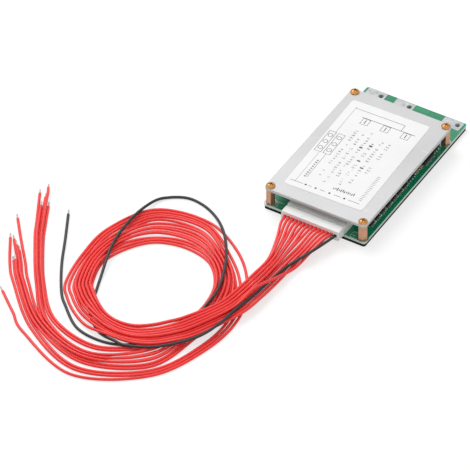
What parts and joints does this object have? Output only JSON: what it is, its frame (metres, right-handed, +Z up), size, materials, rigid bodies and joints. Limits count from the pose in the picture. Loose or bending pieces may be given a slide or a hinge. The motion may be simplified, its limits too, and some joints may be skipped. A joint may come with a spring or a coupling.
{
  "type": "battery management board",
  "caption": "Flat protection board for a battery pack: aluminium plate on brass standoffs over a green circuit board, with a side connector and a looped balance harness.",
  "frame": {"origin": "middle of the underside of the board and its plug, on the surface that the foam pad lies on", "axes": "+Z up, -Y out of the connector, +Y towards the solder pads, +X to the right seen from above with the connector at the front"},
  "size_m": [0.1831, 0.2929, 0.0173],
  "materials": {
    "foam": "matte closed-cell foam",
    "board_laminate": "glossy green solder mask over glass-fibre laminate",
    "tinned_copper": "dull bright tin",
    "standoff_brass": "turned, pinkish",
    "screw_brass": "worn yellow plating",
    "plate_aluminium": "fine matte, pale",
    "label_paper": "smooth white",
    "silicone": "grey heat-conducting sheet",
    "connector_nylon": "moulded natural nylon",
    "chip_epoxy": "moulded black",
    "resistor_ceramic": "black glazed top",
    "capacitor_ceramic": "fired tan",
    "red_insulation": "semi-gloss silicone rubber",
    "black_insulation": "semi-gloss silicone rubber"
  },
  "bodies": {
    "root": {"foam_pad": "foam", "circuit_board": "board_laminate", "solder_pads": "tinned_copper", "standoffs": "standoff_brass", "board_screws": "screw_brass", "heatsink_plate": "plate_aluminium", "plate_screws": "screw_brass", "label": "label_paper", "silicone_sheet": "silicone", "connector_header": "connector_nylon", "header_pins": "tinned_copper", "plug_housing": "connector_nylon", "crimp_contacts": "tinned_copper", "mosfet_bodies": "chip_epoxy", "mosfet_frames": "tinned_copper", "shunt_resistors": "chip_epoxy", "cell_chips": "chip_epoxy", "cell_transistors": "chip_epoxy", "bleed_resistors": "resistor_ceramic", "chip_resistors": "resistor_ceramic", "chip_capacitors": "capacitor_ceramic", "controller_chips": "chip_epoxy", "chip_leads": "tinned_copper", "protection_diodes": "chip_epoxy", "red_wire_1": "red_insulation", "red_wire_2": "red_insulation", "red_wire_3": "red_insulation", "red_wire_4": "red_insulation", "red_wire_5": "red_insulation", "red_wire_6": "red_insulation", "red_wire_7": "red_insulation", "red_wire_8": "red_insulation", "red_wire_9": "red_insulation", "red_wire_10": "red_insulation", "red_wire_11": "red_insulation", "red_wire_12": "red_insulation", "red_wire_13": "red_insulation", "black_wire": "black_insulation", "tinned_ends": "tinned_copper"}
  },
  "joints": []
}
